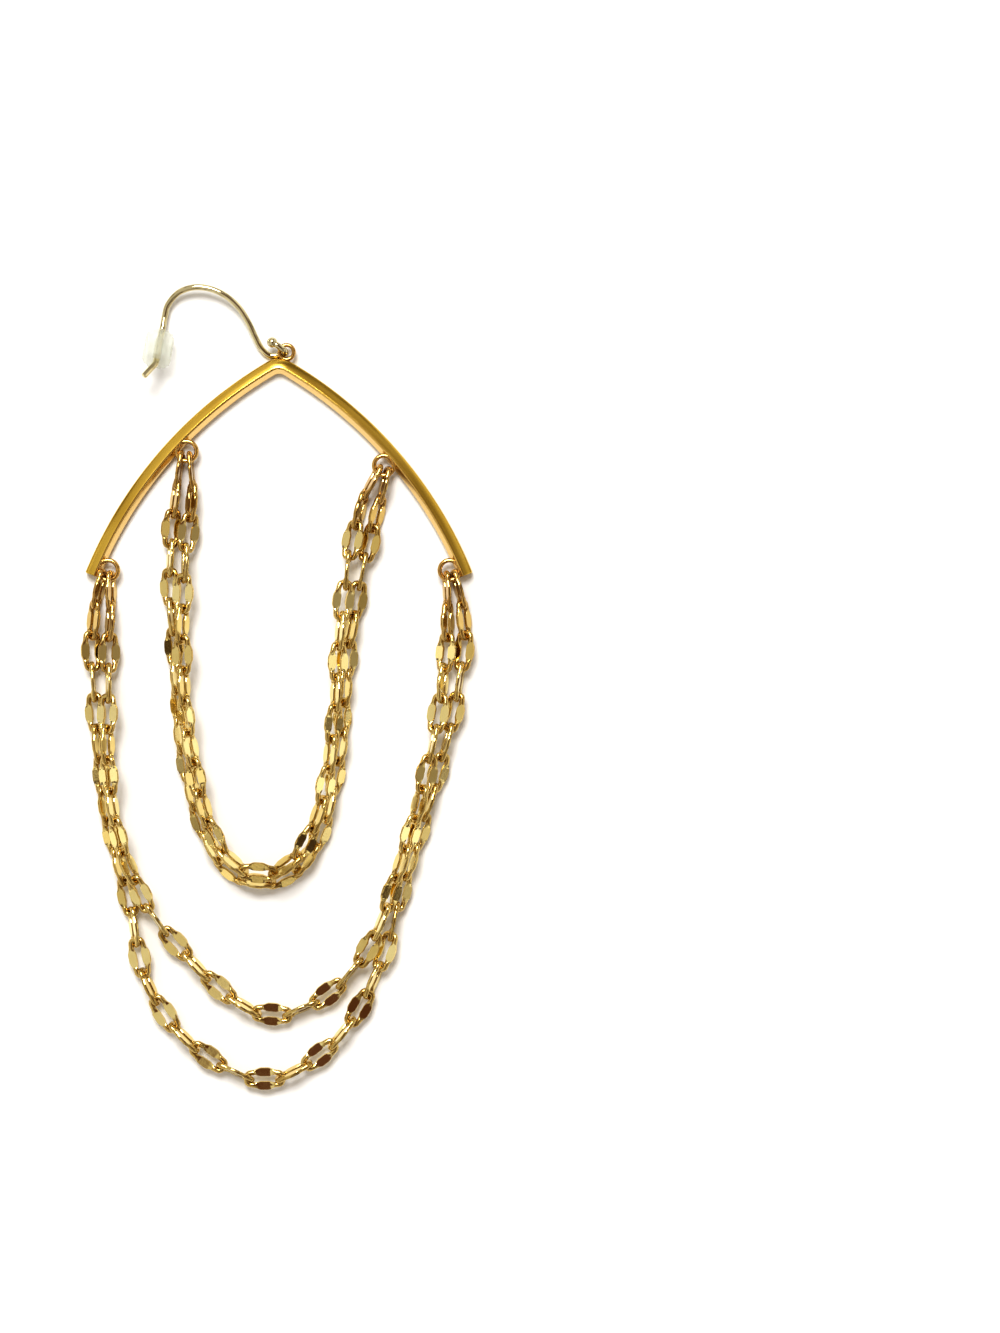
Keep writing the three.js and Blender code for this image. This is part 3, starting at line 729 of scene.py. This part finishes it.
def link_surface(half):
    """One link about its own middle, its length along x, for a half length of its centre line.

    The centre line is a ten-cornered loop with its corners averaged away, and the stations nearest
    to a mirror's edges are moved onto them. The wire's section is an ellipse with its top and
    bottom cut off level: not at all at the ends, and to the mirror's thickness on the long sides,
    where the ellipse is also wider and squarer. Beside the points it tells which lie on a mirror.
    """
    side = (LINK_WIDTH - MIRROR_WIDTH) / 2
    narrow = LINK_END_SHARE * side
    knee_along, knee_out = KNEE_ALONG * half, KNEE_OUT * side
    half_loop = np.array([
        (half, -narrow), (half, narrow), (knee_along, knee_out), (0, side), (-knee_along, knee_out),
    ])
    closed = np.concatenate([half_loop, -half_loop, half_loop[:1]])
    run = np.concatenate([[0], np.cumsum(np.linalg.norm(np.diff(closed, axis=0), axis=1))])
    cuts = np.linspace(0, run[-1], CUTS_PER_STATION * LINK_STATIONS, endpoint=False)
    fine = np.stack([np.interp(cuts, run, closed[:, k]) for k in (0, 1)], axis=-1)
    window = range(-SOFTENING_CUTS, SOFTENING_CUTS + 1)
    centre = np.mean([np.roll(fine, k, axis=0) for k in window], axis=0)
    long_side = narrow * LONG_SIDE_FROM
    along = np.where(np.abs(centre[:, 1]) > long_side, np.abs(centre[:, 0]), half)
    keep = np.arange(0, len(fine), CUTS_PER_STATION)
    edges = (MIRROR_BROAD_HALF, MIRROR_HALF - MIRROR_RIM, MIRROR_HALF, MIRROR_HALF + MIRROR_SLOPE)
    for edge, end, flank in itertools.product(edges, (1, -1), (1, -1)):
        away = np.abs(centre[:, 0] - end * edge)
        away[centre[:, 1] * flank < long_side] = np.inf
        nearest = np.argmin(away)
        keep[np.argmin(np.abs(keep - nearest))] = nearest
    keep = np.sort(keep)
    centre, along = centre[keep], along[keep]
    ahead = np.roll(centre, -1, axis=0) - np.roll(centre, 1, axis=0)
    ahead /= np.linalg.norm(ahead, axis=1, keepdims=True)
    out = np.stack([ahead[:, 1], -ahead[:, 0]], axis=-1)
    broad = 1 - smooth_step(along, MIRROR_BROAD_HALF, MIRROR_HALF + MIRROR_SLOPE)
    wide = LINK_WIRE / 2 + (MIRROR_WIDTH - LINK_WIRE) / 2 * broad
    level = MIRROR_THICKNESS / 2 + (LINK_WIRE - MIRROR_THICKNESS) / 2 * np.clip(
        (along - MIRROR_HALF) / MIRROR_SLOPE, 0, 1
    )
    square = 1 - MIRROR_SQUARENESS * broad
    turn = (np.arange(LINK_CORNERS, 0, -1) - 0.5) * 2 * np.pi / LINK_CORNERS
    reach = np.sign(np.cos(turn)) * np.abs(np.cos(turn)) ** square[:, None] * wide[:, None]
    rise = np.clip(LINK_WIRE / 2 * np.sin(turn), -level[:, None], level[:, None])
    across = centre[:, None] + reach[..., None] * out[:, None]
    on_face = np.abs(np.sin(turn)) > MIRROR_SINE
    mirror = (along < MIRROR_HALF + MIRROR_SLACK)[:, None] & on_face[None, :]
    return np.concatenate([across, rise[..., None]], axis=-1), mirror


def strand_surface(left, right, route, drop, side, seed):
    """Every link of a strand, each laid between the two joints it spans.

    A point is the middle of the joints, plus the link's own three numbers along its length, width
    and height. The length runs along the joints, and the width is rolled about it by the bundle's
    turn and roll, with a quarter turn from one link to the next. No two links of a bundle lie quite
    alike: each sways a little, and none lies flat, because its neighbours prop it up. Where the
    strands are free, a flat link lifts its inner side and one on edge leans.
    """
    joints, opens, turn = strand_joints(left, right, route, drop, side)
    spans = np.diff(joints, axis=0)
    spacing = np.linalg.norm(spans, axis=1)
    ahead = spans / spacing[:, None]
    count = len(spans)
    chance = np.random.default_rng(seed)
    free = smooth_step(opens, SNUG_OPEN, FREE_OPEN)
    roll = BUNDLE_ROLL + (FREE_ROLL - BUNDLE_ROLL) * free - 90 * ((np.arange(count) + 1) % 2)
    roll[[0, -1]] -= END_ROLL
    flat = np.abs(np.sin(np.radians(roll))) < FLAT_SINE
    roll += turn
    lean = (roll + 90) % 180 - 90
    sway = chance.uniform(-SNUG_SWAY, SNUG_SWAY, count)
    propped = np.sign(lean) * np.maximum(np.sign(lean) * (lean + sway), SNUG_LEAN)
    snug_roll = roll + propped - lean
    free_roll = np.where(flat, roll + FREE_LEAN, roll + EDGE_LEAN * chance.choice([-1, 1], count))
    roll = np.radians(snug_roll + (free_roll - snug_roll) * free)[:, None]
    level = sideways(ahead)
    wide = np.cos(roll) * level + np.sin(roll) * np.cross(ahead, level)
    normal = np.cross(ahead, wide)
    pitch = chance.uniform(-PITCH_SWAY, PITCH_SWAY, count) * (1 - FREE_CALM * free)
    pitch = np.radians(pitch)[:, None]
    lengthways = np.cos(pitch) * ahead + np.sin(pitch) * normal
    normal = np.cos(pitch) * normal - np.sin(pitch) * ahead
    half = (spacing.mean() + LINK_WIRE) / 2
    shape, mirror = link_surface(half)
    stretch = (spacing + LINK_WIRE) / 2 / half
    points = (
        ((joints[1:] + joints[:-1]) / 2)[:, None, None]
        + shape[None, ..., :1] * (lengthways * stretch[:, None])[:, None, None]
        + shape[None, ..., 1:2] * wide[:, None, None]
        + shape[None, ..., 2:] * normal[:, None, None]
    )
    # Painted shade: the first links at each ring are marked to be painted browner, for the shade
    # among the links bunched at the rings.
    from_end = np.minimum(np.arange(count), np.arange(count)[::-1])
    ring_shade = np.clip(1 - from_end / RING_SHADE_LINKS, 0, 1)[:, None, None]
    tone = chance.uniform(0, 1, count)[:, None, None]
    marks = {
        name: np.broadcast_to(values, points.shape[:-1])
        for name, values in (("ring_shade", ring_shade), ("mirror", mirror), ("tone", tone))
    }
    return points, marks


chain_finish = Finish(
    bpy.data.materials.new("mirror_link_gold"), {"Metallic": 1.0, "Specular IOR Level": 0.5}
)
chain_place = chain_finish.node("ShaderNodeTexCoord", {}, {}, "Object")
chain_tone, chain_mirror, chain_ring_shade = (
    chain_finish.node("ShaderNodeAttribute", {"attribute_name": mark}, {}, "Fac")
    for mark in ("tone", "mirror", "ring_shade")
)
chain_patch = chain_finish.cloud(chain_place, CHAIN_PATCHES)
chain_grain = chain_finish.cloud(chain_place, CHAIN_GRAIN, 2.0)
# Painted sheen and shade: the mirrors take a paler gold, and the round wire between them a darker
# one that stands for the crevices' shade.
chain_mirror_sheen = chain_finish.blend(0.65 * chain_tone + 0.35 * chain_patch, *CHAIN_MIRROR_SHEEN)
chain_wire_shade = chain_finish.blend(0.4 * chain_tone + 0.6 * chain_patch, *CHAIN_WIRE_SHADE)
chain_before_ring_shade = chain_finish.blend(chain_mirror, chain_wire_shade, chain_mirror_sheen)
chain_finish.give({
    # The first links at each ring are painted browner in patches: painted shade.
    "Base Color": chain_finish.blend(chain_ring_shade * chain_patch * 1.2, chain_before_ring_shade, CHAIN_RING_SHADE),
    "Roughness": CHAIN_DULL - MIRROR_POLISH * chain_mirror + CHAIN_PATCHY * chain_patch,
    "Normal": chain_finish.node("ShaderNodeBump", {}, {
        "Strength": CHAIN_RELIEF, "Distance": CHAIN_RELIEF_DEPTH,
        "Height": (1 - 0.8 * chain_mirror) * chain_grain + 0.5 * chain_patch,
    }),
})
INNER_SWAG = (RINGS["inner_left"], RINGS["inner_right"], INNER_ROUTE, INNER_DROP)
OUTER_SWAG = (RINGS["outer_left"], RINGS["outer_right"], OUTER_ROUTE, OUTER_DROP)
for node, swag, side, seed in (
    ("inner_chain_a", INNER_SWAG, 1, 11),
    ("inner_chain_b", INNER_SWAG, -1, 12),
    ("outer_chain_short", OUTER_SWAG, 1, 13),
    ("outer_chain_long", OUTER_SWAG, -1, 14),
):
    points, marks = strand_surface(*swag, side, seed)
    strand = skin(node + "_links", points, True, marks)
    strand.data.materials.append(chain_finish.holder)
    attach(strand, "root")
    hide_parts(node)


# The table: a plain white board, larger than anything that the metal can mirror. It isn't part of
# the earring.
TABLE_HALF = 3.0
TABLE_WHITES = ((0.95, 0.95, 0.945, 1), (0.97, 0.97, 0.965, 1))
TABLE_LUMPS = 40.0
table_mesh = bpy.data.meshes.new("table")
table_mesh.from_pydata(
    [(x * TABLE_HALF, y * TABLE_HALF, 0) for x, y in ((-1, -1), (1, -1), (1, 1), (-1, 1))],
    [], [(0, 1, 2, 3)],
)
table = bpy.data.objects.new("table", table_mesh)
bpy.context.scene.collection.objects.link(table)
table_finish = Finish(
    bpy.data.materials.new("white_board"), {"Roughness": 0.9, "Specular IOR Level": 0.1}
)
table_place = table_finish.node("ShaderNodeTexCoord", {}, {}, "Object")
table_cloud = table_finish.cloud(table_place, TABLE_LUMPS)
table_finish.give({"Base Color": table_finish.blend(table_cloud, *TABLE_WHITES)})
table.data.materials.append(table_finish.holder)


# The light: a room of pale and dark patches that the metal mirrors, with a broad pale ceiling on
# the left and one soft lamp beyond the hook. Straight overhead it is a dark red brown.
ROOM_LUMPS = 5.0
PATCH_DARK = (0.09, 0.06, 0.042, 1)
PATCH_PALE = (1.2, 1.17, 1.11, 1)
PATCH_EDGE = (0.47, 0.57)
UPPER_ROOM = (0.40, 0.36, 0.31, 1)
UPPER_FROM = (0.55, 0.78)
CEILING_COLOR = (0.78, 0.76, 0.72, 1)
CEILING_NEAR = (-0.11, -0.16)
CEILING_FAR = (-0.8, -0.68)
CEILING_RISE = (0.45, 0.6)
OVERHEAD_COLOR = (0.16, 0.08, 0.06, 1)
OVERHEAD_FROM = (0.84, 0.95)
LAMP_PLACE = np.array([-0.08, 0.48, 0.85])
LAMP_SIZE = 0.42
LAMP_POWER = 7.5
room = Finish(bpy.data.worlds.new("room"), {}, "Background")
bpy.context.scene.world = room.holder
room_way = room.node("ShaderNodeTexCoord", {}, {}, "Generated")
room_right = room.node("ShaderNodeSeparateXYZ", {}, {"Vector": room_way}, "X")
room_up = room.node("ShaderNodeSeparateXYZ", {}, {"Vector": room_way}, "Z")
room_patches = room.node("ShaderNodeTexNoise", {}, {
    "Vector": room_way, "Scale": ROOM_LUMPS, "Detail": 1.0,
})
room_color = room.blend(room.span(room_patches, *PATCH_EDGE), PATCH_DARK, PATCH_PALE)
room_color = room.blend(room.span(room_up, *UPPER_FROM), room_color, UPPER_ROOM)
room_color = room.blend(room.span(room_up, *OVERHEAD_FROM), room_color, OVERHEAD_COLOR)
ceiling = room.span(room_right, *CEILING_NEAR) * room.span(room_right, *CEILING_FAR)
ceiling = ceiling * room.span(room_up, *CEILING_RISE)
room.give({"Color": room.blend(ceiling, room_color, CEILING_COLOR)})
lamp_data = bpy.data.lights.new("soft_lamp", "AREA")
lamp_data.shape = "DISK"
lamp_data.size = LAMP_SIZE
lamp_data.energy = LAMP_POWER
lamp = bpy.data.objects.new("soft_lamp", lamp_data)
lamp.location = LAMP_PLACE
lamp.rotation_euler = Vector(-LAMP_PLACE).to_track_quat("-Z", "Y").to_euler()
bpy.context.scene.collection.objects.link(lamp)
view = bpy.context.scene.view_settings
view.view_transform = "Standard"
view.look = "High Contrast"
view.exposure = -0.4


# The camera looks straight down from 42 cm above the table. The earring lies on the left of its
# field, whose middle is counted from the peak of the bar.
PHOTO_ROWS = 1333
PIXELS_PER_MM = 9
FIELD_HEIGHT = PHOTO_ROWS / PIXELS_PER_MM
FIELD_MIDDLE = np.array([24.5, -33.28, 0.0])
CAMERA_HEIGHT = 420.0
SENSOR_HEIGHT = 36.0
NEAREST_SEEN = 0.01
camera_data = bpy.data.cameras.new("camera")
camera_data.sensor_fit = "VERTICAL"
camera_data.sensor_height = SENSOR_HEIGHT
camera_data.lens = SENSOR_HEIGHT * CAMERA_HEIGHT / FIELD_HEIGHT
camera_data.clip_start = NEAREST_SEEN
camera = bpy.data.objects.new("camera", camera_data)
camera.location = (peak + FIELD_MIDDLE + [0, 0, CAMERA_HEIGHT]) / MM_PER_METRE
bpy.context.scene.collection.objects.link(camera)
bpy.context.scene.camera = camera
